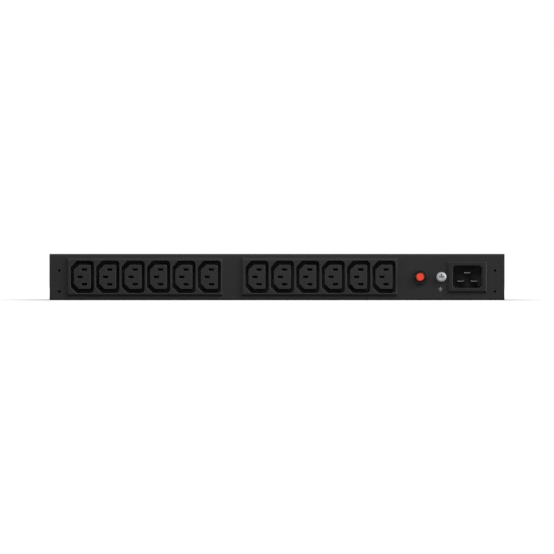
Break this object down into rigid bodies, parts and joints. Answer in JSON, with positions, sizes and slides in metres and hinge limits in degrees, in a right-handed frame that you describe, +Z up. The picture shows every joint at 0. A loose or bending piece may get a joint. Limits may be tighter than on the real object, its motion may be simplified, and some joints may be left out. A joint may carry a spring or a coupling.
{
  "type": "rack power distribution unit",
  "caption": "Slim black steel rack power strip with recessed appliance outlets along its front, a red push-to-reset breaker button, an earth screw and a bladed mains inlet.",
  "frame": {"origin": "middle of the underside, on the face that it stands on", "axes": "+X along the case towards the inlet, +Y from the front to the rear cover, +Z up"},
  "size_m": [0.433, 0.048, 0.044],
  "materials": {
    "black_powder_coat": "fine-textured black powder coat on steel",
    "black_steel_screw": "black-plated steel",
    "outlet_nylon": "moulded black nylon, fine texture",
    "tray_nylon": "moulded dark nylon",
    "bus_brass": "rolled brass strip",
    "inlet_nylon": "moulded black nylon, fine texture",
    "nickel_brass": "nickel-plated brass",
    "breaker_case": "moulded black phenolic",
    "breaker_nut_black": "black-plated nut",
    "red_button": "glossy red moulded plastic",
    "zinc_steel": "zinc-plated steel",
    "tinned_copper": "tinned copper",
    "boot_nylon": "translucent nylon boots",
    "line_insulation": "brown wire insulation",
    "neutral_insulation": "blue wire insulation",
    "earth_insulation": "green wire insulation"
  },
  "bodies": {
    "chassis": {"chassis_channel": "black_powder_coat", "rear_cover": "black_powder_coat", "cover_screws": "black_steel_screw", "outlet_face_left": "outlet_nylon", "outlet_face_right": "outlet_nylon", "outlet_back_left": "tray_nylon", "outlet_back_right": "tray_nylon", "line_strip": "bus_brass", "neutral_strip": "bus_brass", "earth_strip": "bus_brass", "inlet_body": "inlet_nylon", "inlet_line_pin": "nickel_brass", "inlet_neutral_pin": "nickel_brass", "inlet_earth_pin": "nickel_brass", "breaker_body": "breaker_case", "breaker_nut": "breaker_nut_black", "breaker_line_terminal": "nickel_brass", "breaker_load_terminal": "nickel_brass", "ground_screw": "zinc_steel", "ground_nut": "zinc_steel", "earth_lug_inlet": "tinned_copper", "earth_lug_outlets": "tinned_copper", "terminal_boots": "boot_nylon", "line_feed_wire": "line_insulation", "line_load_wire": "line_insulation", "neutral_feed_wire": "neutral_insulation", "earth_feed_wire": "earth_insulation", "earth_bond_wire": "earth_insulation", "outlet_core_01": "outlet_nylon", "outlet_core_02": "outlet_nylon", "outlet_core_03": "outlet_nylon", "outlet_core_04": "outlet_nylon", "outlet_core_05": "outlet_nylon", "outlet_core_06": "outlet_nylon", "outlet_core_07": "outlet_nylon", "outlet_core_08": "outlet_nylon", "outlet_core_09": "outlet_nylon", "outlet_core_10": "outlet_nylon", "outlet_core_11": "outlet_nylon", "outlet_core_12": "outlet_nylon"},
    "reset_button": {"breaker_button": "red_button"}
  },
  "joints": [
    {"name": "breaker_reset", "type": "slide", "parent": "chassis", "child": "reset_button", "axis": [0, -1, 0], "range_m": [-0.0008, 0.0045]}
  ]
}
